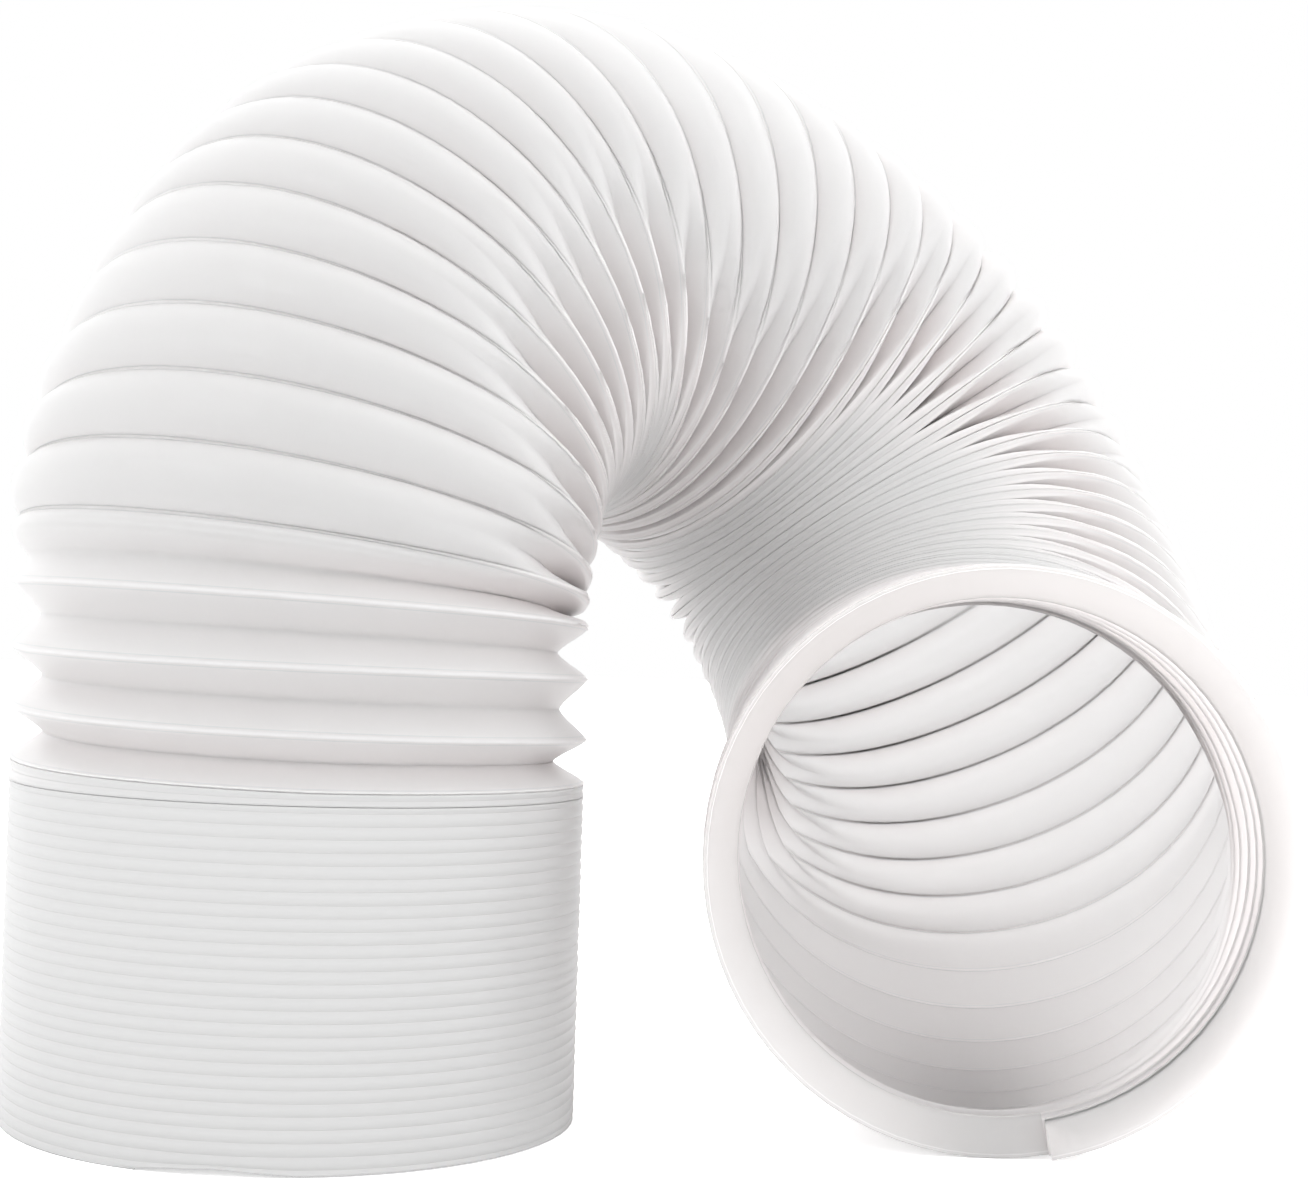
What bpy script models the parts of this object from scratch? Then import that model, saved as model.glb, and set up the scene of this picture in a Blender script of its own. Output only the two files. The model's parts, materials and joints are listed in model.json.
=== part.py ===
# Air conditioner exhaust hose: one plastic strip wound into a left-handed helix and welded along its
# edges, with a pleat between the welded seams. It stands on its closed-up end, arches over to the
# right and back, and comes down with its mouth facing the front and its rim on the floor.

import math

import bmesh
import bpy
import numpy as np

# Main sizes, in metres
OUTER_R = 0.075         # over the welded seams
FLANK = 0.0113          # width of the strip from a seam to the crease in its middle
WALL = 0.0006           # thickness of the plastic
LEAST_DEPTH = 0.003     # a crease never lies less deep than this, unless the pleat has popped
CLOSED_PITCH = 0.003    # one turn with its pleat pressed shut
CLOSED_TURNS = 30       # turns pressed shut at the standing end
CLOSED_GROOVE = 0.002   # depth of the grooves between the seams of the closed stack
OPEN_TURNS = 48         # turns from the closed stack to the mouth
POPS_ABOVE = 3.75       # up to this open turn the pleats stay folded inwards
POPS_OVER = 1.0         # turns that the change takes along the hose
POPS_FROM = 0.0115      # local pitch at which a pleat above it starts to pop outwards
POPS_AT = 0.0155        # local pitch at which it stands fully outwards
POPPED_OUT = 0.0042     # how far it bulges past the seams there
DRAWN_AT = 0.022        # local pitch at which the pleat is drawn nearly flat
DRAWN_OUT = 0.001       # how far it still bulges then
FLAT_ABOVE = 36.5       # from this open turn on to the mouth, popped pleats lie flat
FLAT_OVER = 3.0         # turns that the change takes along the hose

SEGMENTS = 24           # corners round the hose
CUT_ANGLE = math.radians(180)   # where round the hose the strip's cut end lies
FRONT = math.radians(-90)       # seams are counted where they cross the front

# The hose's route as a bending table: the turn counted up from the closed stack, how far the axis
# turns to the right and to the back in degrees a turn, and the pitch on the axis in millimetres.
ROUTE = [
    # straight pleats over the closed stack
    (0, -0.5, -1.0, 13.5),
    (2, 0.0, 1.0, 15.5),
    # up the left leg, pressed shut on the inside of the bend
    (3.5, 4.5, 3.5, 11.0),
    (5, 2.5, 5.0, 10.5),
    (8, 5.5, 3.0, 11.5),
    (11, 4.5, 3.5, 10.5),
    # over the top, where the outer pleats are drawn out
    (14, 6.5, 3.0, 12.0),
    (17, 6.5, 4.0, 15.0),
    (20, 6.0, 2.5, 15.0),
    (23, 7.5, 1.0, 13.0),
    (26, 7.5, 0.5, 13.0),
    # down the right leg
    (30, 6.0, 0.0, 10.5),
    (33, 6.0, 0.0, 10.5),
    (36, 6.0, -0.5, 11.0),
    # forwards to the mouth
    (39, 5.0, -4.0, 12.0),
    (43, 1.0, -2.0, 11.0),
    (46, -1.0, 0.0, 10.5),
    (48, -5.0, 0.0, 10.5),
]

STEPS = 24      # steps along the axis for each turn of the strip, when the route is added up
STRAIGHT = 1e-12        # radians, a bend in one step that is smaller than this is none


def smoothTable(turn):
    """Bend right, bend back (radians a turn) and pitch (metres a turn), smoothly between the rows."""
    table = np.array(ROUTE, float)
    rows, values = table[:, 0], table[:, 1:] * (math.pi / 180, math.pi / 180, 0.001)
    slopes = np.gradient(values, rows, axis=0)
    i = np.clip(np.searchsorted(rows, turn, side="right") - 1, 0, len(rows) - 2)
    span = rows[i + 1] - rows[i]
    w = min(max((turn - rows[i]) / span, 0.0), 1.0)
    return (
        (2 * w**3 - 3 * w**2 + 1) * values[i]
        + (w**3 - 2 * w**2 + w) * span * slopes[i]
        + (3 * w**2 - 2 * w**3) * values[i + 1]
        + (w**3 - w**2) * span * slopes[i + 1]
    )


def walkRoute():
    """Axis points and frames (right, back, along) at every step from the top of the closed stack."""
    centre = np.array([0.0, 0.0, CLOSED_TURNS * CLOSED_PITCH])
    right, back, along = np.eye(3)
    path = [(centre, right, back, along)]
    for step in range((OPEN_TURNS + 1) * STEPS):
        bendRight, bendBack, pitch = smoothTable((step + 0.5) / STEPS) / STEPS
        angle = math.hypot(bendRight, bendBack)
        inward = (bendRight * right + bendBack * back) / max(angle, STRAIGHT)
        side = (bendRight * back - bendBack * right) / max(angle, STRAIGHT)
        middle = math.cos(angle / 2) * along + math.sin(angle / 2) * inward
        centre = centre + pitch * middle
        turned = math.cos(angle) * inward - math.sin(angle) * along
        along = math.cos(angle) * along + math.sin(angle) * inward
        if angle > STRAIGHT:
            right = (bendRight * turned - bendBack * side) / angle
            back = (bendBack * turned + bendRight * side) / angle
        path.append((centre, right, back, along))
    return np.array(path)


PATH = walkRoute()


def smoothRange(value, start, end):
    """0 at the start and before it, 1 at the end and after it, smoothly between."""
    w = min(max((value - start) / (end - start), 0.0), 1.0)
    return w * w * (3 - 2 * w)


def axisAt(turn):
    """Axis point and frame at a turn. Below zero it is inside the closed stack."""
    if turn < 0:
        row = PATH[0].copy()
        row[0, 2] += turn * CLOSED_PITCH
        return row
    place = turn * STEPS
    i = min(int(place), len(PATH) - 2)
    return PATH[i] + (place - i) * (PATH[i + 1] - PATH[i])


def localPitch(turn, angle):
    """Distance between neighbouring seams at this angle round the hose."""
    if turn < 0:
        return CLOSED_PITCH
    bendRight, bendBack, pitch = smoothTable(turn)
    inward = bendRight * math.cos(angle) + bendBack * math.sin(angle)
    return max(pitch - OUTER_R * inward, CLOSED_PITCH)


def pleat(turn, angle):
    """(rise of the crease over the seams, radial thickness of the wall) for the local pitch."""
    pitch = localPitch(turn, angle)
    depth = math.sqrt(max(FLANK**2 - (pitch / 2) ** 2, LEAST_DEPTH**2))
    thick = WALL * math.hypot(1.0, 2 * depth / pitch)
    if turn < 0:
        return -CLOSED_GROOVE, thick
    popped = smoothRange(pitch, POPS_FROM, POPS_AT)
    popped *= smoothRange(turn, POPS_ABOVE - POPS_OVER / 2, POPS_ABOVE + POPS_OVER / 2)
    bulge = POPPED_OUT + (DRAWN_OUT - POPPED_OUT) * smoothRange(pitch, POPS_AT, DRAWN_AT)
    bulge *= smoothRange(turn, FLAT_ABOVE + FLAT_OVER / 2, FLAT_ABOVE - FLAT_OVER / 2)
    return (1 - popped) * (thick - depth) + popped * bulge, thick


def cornerAngle(corner):
    return CUT_ANGLE + 2 * math.pi * corner / SEGMENTS


# Line 0 is the seam on top of the closed stack, line 1 the crease over it, and so on, and the stack's
# own seams and grooves count down from it. Going once round to the left, each line climbs by one
# turn, which is two lines.
PHASE = ((FRONT - CUT_ANGLE) / (2 * math.pi)) % 1.0
LINES = 2 * OPEN_TURNS
LOWEST = 2 - 2 * CLOSED_TURNS


def wallPoints(line, corner):
    """Outer and inner point of the wall on a line, at a corner of the hose."""
    turn = line / 2 + PHASE - corner / SEGMENTS
    angle = cornerAngle(corner)
    centre, right, back, _ = axisAt(turn)
    spoke = math.cos(angle) * right + math.sin(angle) * back
    rise, thick = pleat(turn, angle)
    outer = OUTER_R + (rise if line % 2 else 0.0)
    return centre + outer * spoke, centre + (outer - thick) * spoke


def addHose():
    mesh = bmesh.new()
    outer, inner = {}, {}
    for line in range(LOWEST, LINES + 1):
        for corner in range(SEGMENTS):
            out, inn = wallPoints(line, corner)
            outer[line, corner] = mesh.verts.new(out)
            if line >= 0:
                inner[line, corner] = mesh.verts.new(inn)
    for side, first in ((outer, LOWEST), (inner, 0)):
        for line in range(first, LINES):
            for corner in range(SEGMENTS - 1):
                mesh.faces.new([side[line, corner], side[line, corner + 1],
                                side[line + 1, corner + 1], side[line + 1, corner]])
        # one turn round, a line meets itself two lines further down
        for line in range(first, LINES - 2):
            mesh.faces.new([side[line + 2, SEGMENTS - 1], side[line, 0],
                            side[line + 1, 0], side[line + 3, SEGMENTS - 1]])

    # inside the closed stack is a plain wall, as far in as the pressed pleats are deep
    foot, sill, toe = [], [], []
    for corner in range(SEGMENTS):
        angle = cornerAngle(corner)
        spoke = np.array([math.cos(angle), math.sin(angle), 0.0])
        top = axisAt(PHASE - corner / SEGMENTS)[0] if PHASE < corner / SEGMENTS else PATH[0][0]
        foot.append(mesh.verts.new(OUTER_R * spoke))
        toe.append(mesh.verts.new((OUTER_R - FLANK) * spoke))
        sill.append(mesh.verts.new((OUTER_R - FLANK) * spoke + (0, 0, top[2] - CLOSED_PITCH)))
    last = SEGMENTS - 1
    for corner in range(SEGMENTS):
        after = (corner + 1) % SEGMENTS
        mesh.faces.new([foot[corner], foot[after], toe[after], toe[corner]])
        mesh.faces.new([sill[corner], sill[after], toe[after], toe[corner]])
        for side, first, base in ((outer, LOWEST, foot), (inner, 0, sill)):
            mesh.faces.new([base[corner], base[after], side[first, after], side[first, corner]])
            if corner == last:
                mesh.faces.new([side[first, last], side[first, 0], side[first + 1, last]])
                mesh.faces.new([side[first + 1, last], side[first, 0], side[first + 2, last]])

    # the rim of the mouth, and the strip's cut end where the rim's edge starts
    rim = [(LINES, corner) for corner in range(SEGMENTS)] + [(LINES - 2, 0), (LINES - 1, 0)]
    for here, after in zip(rim, rim[1:] + rim[:1]):
        mesh.faces.new([outer[here], outer[after], inner[after], inner[here]])

    bmesh.ops.triangulate(mesh, faces=mesh.faces)
    bmesh.ops.recalc_face_normals(mesh, faces=mesh.faces)

    # stand the hose over the middle of its box
    points = np.array([v.co for v in mesh.verts])
    low, high = points.min(axis=0), points.max(axis=0)
    shift = (-(low[0] + high[0]) / 2, -(low[1] + high[1]) / 2, 0.0)
    bmesh.ops.translate(mesh, verts=mesh.verts, vec=shift)

    data = bpy.data.meshes.new("hose")
    mesh.to_mesh(data)
    mesh.free()
    data.shade_smooth()
    data.set_sharp_from_angle(angle=math.radians(40))
    hose = bpy.data.objects.new("hose", data)
    bpy.context.scene.collection.objects.link(hose)
    return hose


def whitePlastic():
    material = bpy.data.materials.new("hose_plastic")
    material.use_nodes = True
    shader = material.node_tree.nodes["Principled BSDF"]
    shader.inputs["Base Color"].default_value = (0.82, 0.81, 0.81, 1.0)
    shader.inputs["Roughness"].default_value = 0.35
    shader.inputs["Metallic"].default_value = 0.0
    return material


for old in list(bpy.data.objects):
    bpy.data.objects.remove(old, do_unlink=True)
addHose().data.materials.append(whitePlastic())
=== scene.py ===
import json
import math

import bpy
import numpy as np
from mathutils import Matrix, Vector


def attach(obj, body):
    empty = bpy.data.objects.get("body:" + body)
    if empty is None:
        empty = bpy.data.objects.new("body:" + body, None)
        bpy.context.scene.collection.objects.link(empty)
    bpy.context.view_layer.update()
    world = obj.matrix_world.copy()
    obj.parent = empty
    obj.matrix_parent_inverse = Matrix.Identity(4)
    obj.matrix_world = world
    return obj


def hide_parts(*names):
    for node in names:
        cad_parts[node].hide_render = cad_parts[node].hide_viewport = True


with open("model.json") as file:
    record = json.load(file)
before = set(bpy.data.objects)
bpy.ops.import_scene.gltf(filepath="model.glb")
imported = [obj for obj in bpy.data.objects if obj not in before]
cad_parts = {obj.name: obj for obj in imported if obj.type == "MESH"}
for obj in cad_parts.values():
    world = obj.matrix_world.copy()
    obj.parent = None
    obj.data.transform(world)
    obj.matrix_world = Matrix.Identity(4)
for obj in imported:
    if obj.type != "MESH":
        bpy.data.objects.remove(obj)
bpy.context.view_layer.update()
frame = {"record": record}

# The hose's route
# the bending table is the same as in the part's source: turn, degrees a turn to the right and
# to the back, pitch on the axis in mm
route = {
    "outerRadius": 0.075,
    "footRing": 0.0695,       # radius that the record's foot mount lies on
    "pressedTurns": 30,
    "pressedHeight": 0.09,
    "footLip": 0.0013,        # the second turn is lifted this much, over the strip's cut end
    "openTurns": 49,          # the axis runs on past the mouth's last seam
    "stepsPerTurn": 24,
    "bends": [
        # straight pleats over the closed stack
        (0, -0.5, -1.0, 13.5),
        (2, 0.0, 1.0, 15.5),
        # up the left leg, pressed shut on the inside of the bend
        (3.5, 4.5, 3.5, 11.0),
        (5, 2.5, 5.0, 10.5),
        (8, 5.5, 3.0, 11.5),
        (11, 4.5, 3.5, 10.5),
        # over the top, where the outer pleats are drawn out
        (14, 6.5, 3.0, 12.0),
        (17, 6.5, 4.0, 15.0),
        (20, 6.0, 2.5, 15.0),
        (23, 7.5, 1.0, 13.0),
        (26, 7.5, 0.5, 13.0),
        # down the right leg
        (30, 6.0, 0.0, 10.5),
        (33, 6.0, 0.0, 10.5),
        (36, 6.0, -0.5, 11.0),
        # forwards to the mouth
        (39, 5.0, -4.0, 12.0),
        (43, 1.0, -2.0, 11.0),
        (46, -1.0, 0.0, 10.5),
        (48, -5.0, 0.0, 10.5),
    ],
}


def bendAt(turn):
    # smooth between the table's rows, with the slope of the rows on either side
    table = np.array(route["bends"], float)
    rows, values = table[:, 0], table[:, 1:] * (math.pi / 180, math.pi / 180, 0.001)
    slopes = np.gradient(values, rows, axis=0)
    i = np.clip(np.searchsorted(rows, turn, side="right") - 1, 0, len(rows) - 2)
    span = rows[i + 1] - rows[i]
    w = min(max((turn - rows[i]) / span, 0.0), 1.0)
    return (
        (2 * w**3 - 3 * w**2 + 1) * values[i]
        + (w**3 - 2 * w**2 + w) * span * slopes[i]
        + (3 * w**2 - 2 * w**3) * values[i + 1]
        + (w**3 - w**2) * span * slopes[i + 1]
    )


def footCentre():
    # the middle of the standing end, on the floor
    mount = next(m for m in frame["record"]["mounts"] if m["name"] == "foot")
    return np.array(mount["pos_m"]) + (0, route["footRing"], 0)


def addAxis():
    # the hose's axis as a chain of points, which carry the directions to the right and to the back
    steps = route["stepsPerTurn"]
    foot = footCentre()
    right, back, along = np.eye(3)
    below = route["pressedTurns"] * steps
    # the first turn lies flat on the floor
    heights = route["pressedHeight"] * np.clip((np.arange(below + 1) - steps) / (below - steps), 0, 1)
    heights[steps + 1] += route["footLip"]
    chain = [(foot + along * height, right, back) for height in heights]
    centre = chain[-1][0]
    for step in range(route["openTurns"] * steps):
        bendRight, bendBack, pitch = bendAt((step + 0.5) / steps) / steps
        angle = math.hypot(bendRight, bendBack)
        inward = (bendRight * right + bendBack * back) / angle
        side = (bendRight * back - bendBack * right) / angle
        centre = centre + pitch * (math.cos(angle / 2) * along + math.sin(angle / 2) * inward)
        turned = math.cos(angle) * inward - math.sin(angle) * along
        along = math.cos(angle) * along + math.sin(angle) * inward
        right = (bendRight * turned - bendBack * side) / angle
        back = (bendBack * turned + bendRight * side) / angle
        chain.append((centre, right, back))
    points = np.array(chain)
    mesh = bpy.data.meshes.new("hoseAxis")
    mesh.from_pydata(points[:, 0].tolist(), [(i, i + 1) for i in range(len(points) - 1)], [])
    for name, column in (("toRight", 1), ("toBack", 2)):
        layer = mesh.attributes.new(name, "FLOAT_VECTOR", "POINT")
        layer.data.foreach_set("vector", points[:, column].astype(np.float32).ravel())
    return mesh


# Short forms for building node trees
def addNode(tree, kind, sockets=None, **settings):
    node = tree.nodes.new(kind)
    for name, value in settings.items():
        setattr(node, name, value)
    for key, value in (sockets or {}).items():
        if isinstance(value, bpy.types.NodeSocket):
            tree.links.new(value, node.inputs[key])
        elif value is not None:
            node.inputs[key].default_value = value
    return node


def calc(tree, operation, *values):
    return addNode(tree, "ShaderNodeMath", dict(enumerate(values)), operation=operation).outputs[0]


def calcVector(tree, operation, *values):
    return addNode(tree, "ShaderNodeVectorMath", dict(enumerate(values)), operation=operation).outputs[0]


def scaled(tree, vector, factor):
    return addNode(tree, "ShaderNodeVectorMath", {0: vector, 3: factor}, operation="SCALE").outputs[0]


def between(tree, factor, low, high):
    return calc(tree, "MULTIPLY_ADD", factor, calc(tree, "SUBTRACT", high, low), low)


def betweenVectors(tree, factor, low, high):
    return calcVector(tree, "ADD", low, scaled(tree, calcVector(tree, "SUBTRACT", high, low), factor))


def smoothRange(tree, value, start, end):
    node = addNode(tree, "ShaderNodeMapRange", {0: value, 1: start, 2: end},
                   interpolation_type="SMOOTHSTEP")
    return node.outputs[0]


def fadeAt(tree, value, place, reach):
    # from 0 to 1 across the place, or from 1 to 0 where the reach is negative
    return smoothRange(tree, value, calc(tree, "SUBTRACT", place, reach), calc(tree, "ADD", place, reach))


def mixColours(tree, factor, low, high):
    return addNode(tree, "ShaderNodeMix", {0: factor, 6: low, 7: high}, data_type="RGBA").outputs[2]


def curveOf(tree, value, points, straight=False):
    node = addNode(tree, "ShaderNodeFloatCurve", {"Value": value})
    curve = node.mapping.curves[0]
    curve.points[0].location = points[0]
    curve.points[1].location = points[-1]
    for point in points[1:-1]:
        curve.points.new(*point)
    if straight:
        for point in curve.points:
            point.handle_type = "VECTOR"
    node.mapping.update()
    return node.outputs[0]


# The strip
# widths and heights in metres, places along the hose in turns
strip = {
    "Half width": 0.0113,
    "Least depth": 0.003,
    "Wall": 0.0006,
    "Pops above": 3.75,           # below it the pleats stay folded inwards
    "Pops below": 45.0,           # and above it, at the mouth
    "popFade": 0.5,               # turns on either side of these two that the change takes
    "Pops from": 0.0075,          # local pitch
    "Pops at": 0.0155,
    "Bulge": 0.0042,
    "Drawn at": 0.022,
    "Drawn bulge": 0.001,
    "Shoulder": 28.0,             # where the pleats stand out most, on the right shoulder
    "Shoulder bulge": 0.002,
    "shoulderReach": 7.0,         # turns from there at which this starts
    "shoulderFull": 2.0,          # and within which it is full
    "Flat above": 36.5,           # from here to the mouth popped pleats lie flat
    "flatFade": 1.5,              # turns on either side of it that the change takes
    "Pressed from": 0.009,
    "Pressed at": 0.0038,
    "Pressed below": 46.3,        # the last turn has no neighbour to be pressed against
    "pressedFade": 0.3,           # turns before it over which that ends
    "Bead": 0.0005,               # weld bead on the seams
    "Bead width": 0.055,          # share of the half width
    "beadLoss": 0.8,              # share of the bead that is lost where the pleats are pressed
    "Unevenness": 0.0014,         # of the bulges
    "unevenScale": 22.0,          # noise scale
    "Wobble": 0.0004,             # of the seams' radius
    "wobbleScale": 2.3,
    "weldGap": 0.00001,
    "crispAngle": 0.8,            # radians
    "crispPressed": 0.3,          # how far pressed a pleat has to be for crisp edges
    "Corners a turn": 72,
    "Rows across": 20,
    # where each piece of the strip starts, and the mouth's cut end
    "cuts": [("pressedTurns", -30 + 1 / 12), ("leftPleats", -1.5), ("rightPleats", 22.5), ("end", 47.33)],
    # rows of the sheet from the seam (0) to the crease (1) of a pleat
    "rows": [0, 0.028, 0.055, 0.1, 0.2, 0.36, 0.55, 0.74, 0.88, 0.96, 1],
    # the fold's shape on the same way: shares of its depth, and of half the pitch
    "openDepth": [(0, 0), (0.1, 0.05), (0.25, 0.2), (0.7, 0.7), (0.9, 0.86), (1, 0.89)],
    "pressedDepth": [(0, 0), (0.028, 0.003), (0.055, 0.008), (0.1, 0.016), (0.2, 0.06), (0.88, 0.9), (1, 1)],
    "pressedAcross": [(0, 0), (0.028, 0.36), (0.055, 0.7), (0.1, 0.985), (0.96, 0.99), (1, 1)],
    "bulgeShape": 2.4,            # power of the bulge's curve, rounder when higher
}


def seamPoint(tree, group, turn):
    # a point of the seam and its direction out from the axis, read from the chain of axis points
    place = calc(tree, "MULTIPLY", calc(tree, "ADD", turn, group["Pressed turns"]), group["Steps a turn"])
    share = calc(tree, "FRACT", place)
    first = calc(tree, "FLOOR", place)
    after = calc(tree, "ADD", first, 1.0)
    read = {}
    position = tree.nodes.new("GeometryNodeInputPosition").outputs[0]
    for name in ("centre", "toRight", "toBack"):
        value = position
        if name != "centre":
            value = addNode(tree, "GeometryNodeInputNamedAttribute", {"Name": name},
                            data_type="FLOAT_VECTOR").outputs[0]
        ends = [
            addNode(tree, "GeometryNodeSampleIndex", {"Geometry": group["Axis"], "Value": value, "Index": i},
                    data_type="FLOAT_VECTOR").outputs[0]
            for i in (first, after)
        ]
        read[name] = betweenVectors(tree, share, *ends)
    # turns are counted where the seam crosses the front, and it climbs to the left
    angle = calc(tree, "MULTIPLY_ADD", turn, -2 * math.pi, -math.pi / 2)
    spoke = calcVector(
        tree, "ADD",
        scaled(tree, read["toRight"], calc(tree, "COSINE", angle)),
        scaled(tree, read["toBack"], calc(tree, "SINE", angle)),
    )
    # the welds don't all lie at the same radius
    noise = addNode(tree, "ShaderNodeTexNoise", {"W": turn, "Scale": strip["wobbleScale"], "Detail": 1.0},
                    noise_dimensions="1D").outputs[0]
    radius = calc(tree, "MULTIPLY_ADD", calc(tree, "SUBTRACT", noise, 0.5), group["Wobble"],
                  group["Outer radius"])
    return calcVector(tree, "ADD", read["centre"], scaled(tree, spoke, radius)), spoke


def stripTree():
    tree = bpy.data.node_groups.new("pleatedStrip", "GeometryNodeTree")
    tree.interface.new_socket(name="Axis", in_out="INPUT", socket_type="NodeSocketGeometry")
    for name in ("Outer radius", "Pressed turns", "Steps a turn", "From turn", "Turns", "Half width",
                 "Least depth", "Pops above", "Pops below", "Pops from", "Pops at", "Bulge", "Drawn at",
                 "Drawn bulge", "Shoulder", "Shoulder bulge", "Flat above", "Pressed from", "Pressed at",
                 "Pressed below", "Bead", "Bead width", "Unevenness", "Wobble"):
        tree.interface.new_socket(name=name, in_out="INPUT", socket_type="NodeSocketFloat")
    for name in ("Corners a turn", "Rows across"):
        tree.interface.new_socket(name=name, in_out="INPUT", socket_type="NodeSocketInt")
    tree.interface.new_socket(name="Material", in_out="INPUT", socket_type="NodeSocketMaterial")
    tree.interface.new_socket(name="Strip", in_out="OUTPUT", socket_type="NodeSocketGeometry")
    group = tree.nodes.new("NodeGroupInput").outputs

    # a flat sheet: x counts along the strip, y across it
    corners = calc(tree, "ROUND", calc(tree, "MULTIPLY", group["Turns"], group["Corners a turn"]))
    sheet = addNode(tree, "GeometryNodeMeshGrid", {
        "Size X": 1.0, "Size Y": 1.0,
        "Vertices X": calc(tree, "ADD", corners, 1.0),
        "Vertices Y": calc(tree, "ADD", group["Rows across"], 1.0),
    })
    flat = addNode(tree, "ShaderNodeSeparateXYZ",
                   {0: tree.nodes.new("GeometryNodeInputPosition").outputs[0]})
    along = calc(tree, "ADD", flat.outputs[0], 0.5)
    even = calc(tree, "ADD", flat.outputs[1], 0.5)
    isUpper = calc(tree, "GREATER_THAN", even, 0.5)
    rowPlaces = [(i / (len(strip["rows"]) - 1), place) for i, place in enumerate(strip["rows"])]
    evenFold = calc(tree, "PINGPONG", calc(tree, "MULTIPLY", even, 2.0), 1.0)
    fold = curveOf(tree, evenFold, rowPlaces, straight=True)
    halfAcross = calc(tree, "MULTIPLY", fold, 0.5)
    across = between(tree, isUpper, halfAcross, calc(tree, "SUBTRACT", 1.0, halfAcross))
    turn = calc(tree, "MULTIPLY_ADD", along, group["Turns"], group["From turn"])
    turnHere = calc(tree, "ADD", turn, across)

    lower, lowerSpoke = seamPoint(tree, group, turn)
    upper, upperSpoke = seamPoint(tree, group, calc(tree, "ADD", turn, 1.0))
    pitch = addNode(tree, "ShaderNodeVectorMath", {0: lower, 1: upper}, operation="DISTANCE").outputs["Value"]

    # real pleats don't all draw out alike
    noise = addNode(tree, "ShaderNodeTexNoise",
                    {"Vector": lower, "Scale": strip["unevenScale"], "Detail": 2.0})
    uneven = calc(tree, "MULTIPLY", calc(tree, "SUBTRACT", noise.outputs[0], 0.5), group["Unevenness"])
    popped = smoothRange(tree, calc(tree, "ADD", pitch, uneven), group["Pops from"], group["Pops at"])
    popped = calc(tree, "MULTIPLY", popped, fadeAt(tree, turnHere, group["Pops above"], strip["popFade"]))
    popped = calc(tree, "MULTIPLY", popped, fadeAt(tree, turnHere, group["Pops below"], -strip["popFade"]))
    pressed = smoothRange(tree, pitch, group["Pressed from"], group["Pressed at"])
    pressed = calc(tree, "MULTIPLY", pressed, smoothRange(
        tree, turn, group["Pressed below"],
        calc(tree, "SUBTRACT", group["Pressed below"], strip["pressedFade"])))

    # how far the point lies in from the seams, or out where the pleat has popped
    squares = calc(tree, "SUBTRACT", calc(tree, "POWER", group["Half width"], 2.0),
                   calc(tree, "POWER", calc(tree, "MULTIPLY", pitch, 0.5), 2.0))
    depth = calc(tree, "SQRT", calc(tree, "MAXIMUM", squares, calc(tree, "POWER", group["Least depth"], 2.0)))
    profile = between(tree, pressed, curveOf(tree, fold, strip["openDepth"]),
                      curveOf(tree, fold, strip["pressedDepth"], straight=True))
    foldedRise = calc(tree, "MULTIPLY", calc(tree, "MULTIPLY", depth, profile), -1.0)
    height = between(tree, smoothRange(tree, pitch, group["Pops at"], group["Drawn at"]),
                     group["Bulge"], group["Drawn bulge"])
    height = calc(tree, "ADD", height, uneven)
    away = calc(tree, "ABSOLUTE", calc(tree, "SUBTRACT", turnHere, group["Shoulder"]))
    shoulder = smoothRange(tree, away, strip["shoulderReach"], strip["shoulderFull"])
    height = calc(tree, "MULTIPLY_ADD", shoulder, group["Shoulder bulge"], height)
    height = calc(tree, "MULTIPLY", height, fadeAt(tree, turnHere, group["Flat above"], -strip["flatFade"]))
    arc = calc(tree, "SUBTRACT", 1.0, calc(tree, "POWER", calc(tree, "SUBTRACT", 1.0, fold),
                                          strip["bulgeShape"]))
    rise = between(tree, popped, foldedRise, calc(tree, "MULTIPLY", height, arc))
    bead = calc(tree, "MULTIPLY", group["Bead"], smoothRange(tree, fold, group["Bead width"], 0.0))
    bead = calc(tree, "MULTIPLY", bead, calc(tree, "MULTIPLY_ADD", pressed, -strip["beadLoss"], 1.0))
    rise = calc(tree, "ADD", rise, bead)

    # how far along the pitch it lies
    half = calc(tree, "MULTIPLY", 0.5, between(
        tree, pressed, fold, curveOf(tree, fold, strip["pressedAcross"], straight=True)))
    share = between(tree, isUpper, half, calc(tree, "SUBTRACT", 1.0, half))
    spoke = calcVector(tree, "NORMALIZE", betweenVectors(tree, share, lowerSpoke, upperSpoke))
    point = calcVector(tree, "ADD", betweenVectors(tree, share, lower, upper), scaled(tree, spoke, rise))

    shaped = addNode(tree, "GeometryNodeStoreNamedAttribute", {
        "Geometry": sheet.outputs[0], "Name": "UVMap",
        "Value": addNode(tree, "ShaderNodeCombineXYZ", {0: turn, 1: across}).outputs[0],
    }, data_type="FLOAT2", domain="CORNER")
    for name, value in (("pressed", pressed), ("popped", popped)):
        shaped = addNode(tree, "GeometryNodeStoreNamedAttribute",
                         {"Geometry": shaped.outputs[0], "Name": name, "Value": value},
                         data_type="FLOAT", domain="POINT")
    shaped = addNode(tree, "GeometryNodeSetPosition", {"Geometry": shaped.outputs[0], "Position": point})
    welded = addNode(tree, "GeometryNodeMergeByDistance",
                     {"Geometry": shaped.outputs[0], "Distance": strip["weldGap"]})
    smooth = addNode(tree, "GeometryNodeSetShadeSmooth", {"Geometry": welded.outputs[0]})
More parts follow.
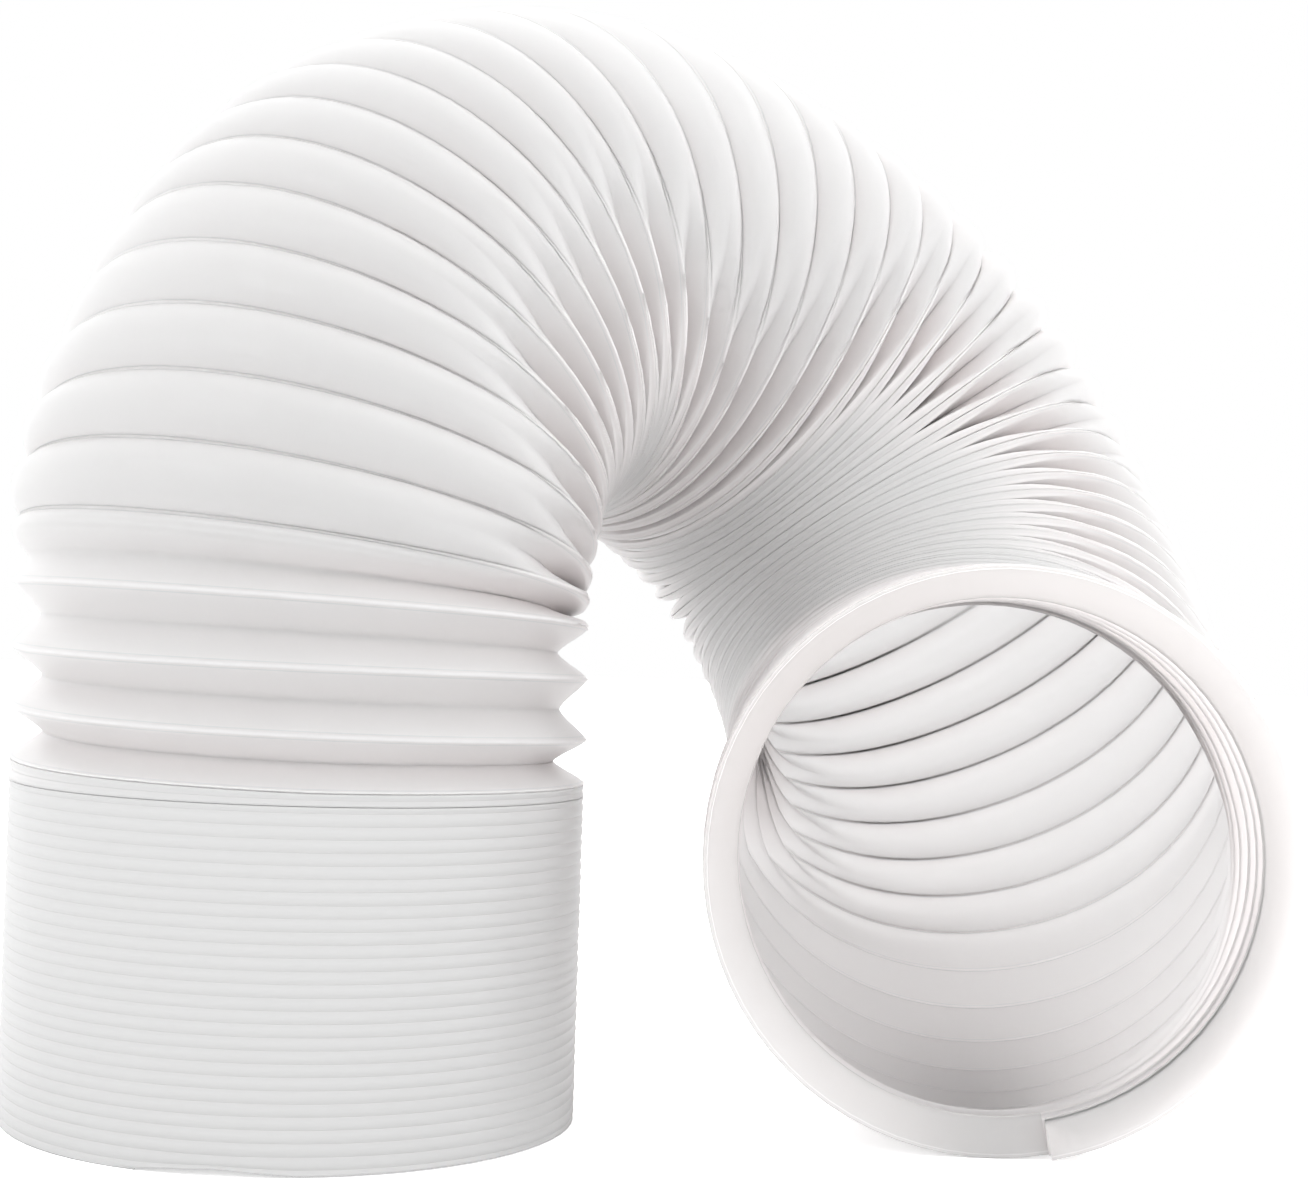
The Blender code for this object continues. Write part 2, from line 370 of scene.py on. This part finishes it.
    # pressed pleats meet in a crisp line
    steep = calc(tree, "GREATER_THAN", tree.nodes.new("GeometryNodeInputMeshEdgeAngle").outputs[0],
                 strip["crispAngle"])
    storedPressed = addNode(tree, "GeometryNodeInputNamedAttribute", {"Name": "pressed"},
                            data_type="FLOAT").outputs[0]
    crisp = calc(tree, "MULTIPLY", steep,
                 calc(tree, "GREATER_THAN", storedPressed, strip["crispPressed"]))
    smooth = addNode(tree, "GeometryNodeSetShadeSmooth", {
        "Geometry": smooth.outputs[0], "Selection": crisp, "Shade Smooth": False}, domain="EDGE")
    real = addNode(tree, "GeometryNodeRealizeInstances", {"Geometry": smooth.outputs[0]})
    painted = addNode(tree, "GeometryNodeSetMaterial",
                      {"Geometry": real.outputs[0], "Material": group["Material"]})
    tree.links.new(painted.outputs[0], tree.nodes.new("NodeGroupOutput").inputs[0])
    return tree


def addStrip(name, tree, axis, fromTurn, toTurn, material):
    source = bpy.data.objects.new(name + "Source", axis)
    bpy.context.scene.collection.objects.link(source)
    nodes = source.modifiers.new("strip", "NODES")
    nodes.node_group = tree
    values = dict(strip)
    values.update({
        "Outer radius": route["outerRadius"], "Pressed turns": float(route["pressedTurns"]),
        "Steps a turn": float(route["stepsPerTurn"]), "From turn": float(fromTurn),
        "Turns": float(toTurn - fromTurn), "Material": material,
    })
    for item in tree.interface.items_tree:
        if item.in_out == "INPUT" and item.name in values:
            nodes[item.identifier] = values[item.name]
    wall = source.modifiers.new("wall", "SOLIDIFY")
    wall.thickness = strip["Wall"]
    wall.offset = -1.0
    bpy.context.view_layer.update()
    evaluated = source.evaluated_get(bpy.context.evaluated_depsgraph_get())
    mesh = bpy.data.meshes.new_from_object(evaluated)
    bpy.data.objects.remove(source, do_unlink=True)
    mesh.name = name
    piece = bpy.data.objects.new(name, mesh)
    bpy.context.scene.collection.objects.link(piece)
    print(name, "triangles", sum(len(p.vertices) - 2 for p in mesh.polygons))
    return piece


# The plastic
plastic = {
    "colour": (0.945, 0.89, 0.885, 1.0),
    "cloudy": (0.905, 0.85, 0.845, 1.0),
    "stackedPaintedShade": (0.54, 0.54, 0.54, 1.0),    # painted shade where the pleats lie pressed together, darker than the plastic's own colour
    "paintedCreviceShade": (0.83, 0.81, 0.81, 1.0),    # painted shade along both sides of the weld bead
    "creviceFrom": 0.045,                   # share of the half width, and the next two
    "creviceAt": 0.07,
    "creviceTo": 0.11,
    "creviceLoss": 0.9,                     # share of it that is lost where the pleats are pressed
    "lipShadeLow": (0.66, 0.64, 0.635, 1.0),     # painted shade on the last flank, the mouth's rim, near the floor
    "lipShadeHigh": (0.43, 0.415, 0.41, 1.0),    # and darker painted shade at its top, where more light comes through it
    "lipHeight": 0.15,
    "lipFrom": 46.33,                       # turn
    "cloudScale": 14.0,                     # noise scale of the two colours and of the gloss
    "roughness": 0.33,
    "glossSpread": 0.12,                    # from the least to the most roughness
    "grainScale": 260.0,                    # noise scale of the fine bumps
    "grainStrength": 0.12,
    "grainDepth": 0.0004,
    "throughWall": 1.0,                     # share of the light that scatters inside the wall
    "throughStack": 0.15,                   # and where the pleats lie pressed together
    "scatterDepth": 0.0045,
    "ior": 1.49,
}


def whitePlastic():
    material = bpy.data.materials.new("whitePolypropylene")
    material.use_nodes = True
    tree = material.node_tree
    shader = tree.nodes["Principled BSDF"]
    place = tree.nodes.new("ShaderNodeTexCoord").outputs["Object"]
    cloud = addNode(tree, "ShaderNodeTexNoise",
                    {"Vector": place, "Scale": plastic["cloudScale"], "Detail": 3.0}).outputs[0]
    milky = mixColours(tree, cloud, plastic["cloudy"], plastic["colour"])
    pressed = addNode(tree, "ShaderNodeAttribute", attribute_name="pressed").outputs["Fac"]
    # painted shade: the plastic is painted darker where the pleats lie pressed together
    body = mixColours(tree, pressed, milky, plastic["stackedPaintedShade"])
    # painted shade: thin darker lines where the bead meets the strip on either side
    sheet = addNode(tree, "ShaderNodeUVMap", uv_map="UVMap").outputs[0]
    sheetParts = addNode(tree, "ShaderNodeSeparateXYZ", {0: sheet}).outputs
    across = sheetParts[1]
    fold = calc(tree, "PINGPONG", calc(tree, "MULTIPLY", across, 2.0), 1.0)
    line = calc(tree, "MULTIPLY", smoothRange(tree, fold, plastic["creviceFrom"], plastic["creviceAt"]),
                smoothRange(tree, fold, plastic["creviceTo"], plastic["creviceAt"]))
    line = calc(tree, "MULTIPLY", line, calc(tree, "MULTIPLY_ADD", pressed, -plastic["creviceLoss"], 1.0))
    # the last flank, which is the mouth's rim, painted darker as shade, and darker still towards its top
    # where more light falls on it
    isLip = calc(tree, "MULTIPLY", calc(tree, "GREATER_THAN", sheetParts[0], plastic["lipFrom"]),
                 calc(tree, "GREATER_THAN", across, 0.5))
    height = addNode(tree, "ShaderNodeSeparateXYZ", {0: place}).outputs[2]
    lipShade = mixColours(tree, smoothRange(tree, height, 0.0, plastic["lipHeight"]),
                     plastic["lipShadeLow"], plastic["lipShadeHigh"])
    colour = mixColours(tree, line, mixColours(tree, isLip, body, lipShade), plastic["paintedCreviceShade"])
    grain = addNode(tree, "ShaderNodeTexNoise",
                    {"Vector": place, "Scale": plastic["grainScale"], "Detail": 2.0}).outputs[0]
    bump = addNode(tree, "ShaderNodeBump", {"Height": grain, "Strength": plastic["grainStrength"],
                                            "Distance": plastic["grainDepth"]})
    gloss = calc(tree, "MULTIPLY_ADD", cloud, plastic["glossSpread"],
                 plastic["roughness"] - plastic["glossSpread"] / 2)
    tree.links.new(colour, shader.inputs["Base Color"])
    tree.links.new(bump.outputs[0], shader.inputs["Normal"])
    tree.links.new(gloss, shader.inputs["Roughness"])
    # little light passes through the pleats that lie pressed together
    tree.links.new(between(tree, pressed, plastic["throughWall"], plastic["throughStack"]),
                   shader.inputs["Subsurface Weight"])
    shader.inputs["Subsurface Radius"].default_value = (1.0, 1.0, 1.0)
    shader.inputs["Subsurface Scale"].default_value = plastic["scatterDepth"]
    shader.inputs["IOR"].default_value = plastic["ior"]
    return material


white = whitePlastic()
axis = addAxis()
tree = stripTree()
for (name, fromTurn), (_, toTurn) in zip(strip["cuts"], strip["cuts"][1:]):
    piece = addStrip(name, tree, axis, fromTurn, toTurn, white)
    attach(piece, "root")
    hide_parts("hose")
print("hose wound")

# Floor and light
studio = {
    "floor": (0.9, 0.9, 0.9, 1.0),
    "floorRoughness": 0.9,
    "floorGlow": 0.6,
    "floorReach": 6.0,
    "floorHeight": -0.0002,
    "skyStrength": 1.52,          # as light, with 1 for what the camera sees
    # name, place, target, size in metres, power in watts
    "lamps": [
        ("overhead", (0.5, -0.3, 1.4), (0.05, 0.0, 0.2), 0.8, 0.7),
        ("frontLeft", (-1.0, -0.9, 1.0), (-0.1, 0.0, 0.25), 0.4, 0.7),
        ("right", (1.3, -0.4, 0.7), (0.1, 0.0, 0.15), 0.9, 1.0),
    ],
}


def addFloor():
    mesh = bpy.data.meshes.new("floor")
    reach = studio["floorReach"]
    low = studio["floorHeight"]
    corners = [(-reach, -reach, low), (reach, -reach, low), (reach, reach, low), (-reach, reach, low)]
    mesh.from_pydata(corners, [], [(0, 1, 2, 3)])
    floor = bpy.data.objects.new("floor", mesh)
    bpy.context.scene.collection.objects.link(floor)
    paint = bpy.data.materials.new("floorPaint")
    paint.use_nodes = True
    shader = paint.node_tree.nodes["Principled BSDF"]
    shader.inputs["Base Color"].default_value = studio["floor"]
    shader.inputs["Roughness"].default_value = studio["floorRoughness"]
    shader.inputs["Emission Color"].default_value = (1.0, 1.0, 1.0, 1.0)
    # the glow only whitens the floor in the picture and doesn't light the hose
    seen = paint.node_tree.nodes.new("ShaderNodeLightPath").outputs["Is Camera Ray"]
    glow = calc(paint.node_tree, "MULTIPLY", seen, studio["floorGlow"])
    paint.node_tree.links.new(glow, shader.inputs["Emission Strength"])
    mesh.materials.append(paint)


def addLamps():
    for name, place, target, size, power in studio["lamps"]:
        lamp = bpy.data.lights.new(name, "AREA")
        lamp.shape = "DISK"
        lamp.size = size
        lamp.energy = power
        holder = bpy.data.objects.new(name, lamp)
        holder.location = place
        holder.rotation_mode = "QUATERNION"
        holder.rotation_quaternion = (Vector(target) - Vector(place)).to_track_quat("-Z", "Y")
        bpy.context.scene.collection.objects.link(holder)


def addSky():
    # pure white behind the hose, and half as strong again as light on it
    world = bpy.data.worlds.new("studio")
    world.use_nodes = True
    tree = world.node_tree
    sky = tree.nodes["Background"]
    sky.inputs["Color"].default_value = (1.0, 1.0, 1.0, 1.0)
    seen = tree.nodes.new("ShaderNodeLightPath").outputs["Is Camera Ray"]
    tree.links.new(between(tree, seen, studio["skyStrength"], 1.0), sky.inputs["Strength"])
    bpy.context.scene.world = world


# Camera
view = {
    "fromFoot": (-0.0172, -0.6191, 0.1299),   # metres from the middle of the foot
    "yaw": 10.2,                              # degrees to the right
    "pitch": -1.14,                           # degrees down
    "roll": 1.86,
    "focal": 2281.0,                          # pixels, in an image as wide as this
    "imageWidth": 1308,
    "sensor": 36.0,                           # millimetres
    "clipStart": 0.01,
}


def addCamera():
    yaw, pitch, roll = (math.radians(view[name]) for name in ("yaw", "pitch", "roll"))
    ahead = Vector((math.sin(yaw) * math.cos(pitch), math.cos(yaw) * math.cos(pitch), -math.sin(pitch)))
    right = Vector((math.cos(yaw), -math.sin(yaw), 0.0))
    up = right.cross(ahead)
    tiltedRight = math.cos(roll) * right + math.sin(roll) * up
    tiltedUp = math.cos(roll) * up - math.sin(roll) * right
    lens = bpy.data.cameras.new("camera")
    lens.sensor_width = view["sensor"]
    lens.lens = view["focal"] / view["imageWidth"] * view["sensor"]
    lens.clip_start = view["clipStart"]
    camera = bpy.data.objects.new("camera", lens)
    turn = Matrix((tiltedRight, tiltedUp, -ahead)).transposed().to_4x4()
    camera.matrix_world = Matrix.Translation(footCentre() + view["fromFoot"]) @ turn
    bpy.context.scene.collection.objects.link(camera)
    bpy.context.scene.camera = camera


addFloor()
addLamps()
addSky()
addCamera()
bpy.context.scene.view_settings.view_transform = "Standard"
print("stage set")
